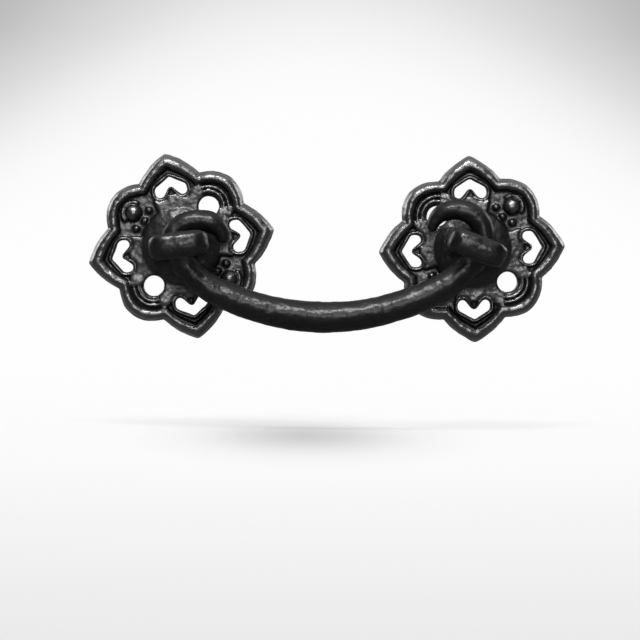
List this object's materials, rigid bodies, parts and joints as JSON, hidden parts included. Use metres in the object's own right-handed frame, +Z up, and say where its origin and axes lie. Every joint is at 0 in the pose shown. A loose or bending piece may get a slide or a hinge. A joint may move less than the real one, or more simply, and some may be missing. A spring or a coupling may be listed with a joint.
{
  "type": "drop drawer handle",
  "caption": "Drop handle for a drawer: a curved bail hooked through swivel eyes on pierced rosette plates, in black painted cast iron.",
  "frame": {"origin": "on the drawer's face, midway between the centres of the two plates", "axes": "+X to the right along the handle, +Z up, -Y out of the drawer towards the person who pulls"},
  "size_m": [0.1188, 0.0247, 0.0468],
  "materials": {
    "plate_iron": "satin black paint over cast iron",
    "eye_iron": "satin black paint over cast iron",
    "bail_iron": "satin black paint over cast iron"
  },
  "bodies": {
    "plates": {"left_plate": "plate_iron", "right_plate": "plate_iron"},
    "left_eye": {"left_eye": "eye_iron"},
    "right_eye": {"right_eye": "eye_iron"},
    "bail": {"bail": "bail_iron"}
  },
  "joints": [
    {"name": "bail_swing", "type": "hinge", "parent": "plates", "child": "bail", "pos_m": [0, -0.0122, 0.002], "axis": [-1, 0, 0], "range_deg": [0, 34]},
    {"name": "left_eye_swivel", "type": "hinge", "parent": "plates", "child": "left_eye", "pos_m": [-0.03625, 0, 0], "axis": [0, -1, 0], "range_deg": [-18, 3]},
    {"name": "right_eye_swivel", "type": "hinge", "parent": "plates", "child": "right_eye", "pos_m": [0.03625, 0, 0], "axis": [0, 1, 0], "range_deg": [-24, 22]}
  ]
}
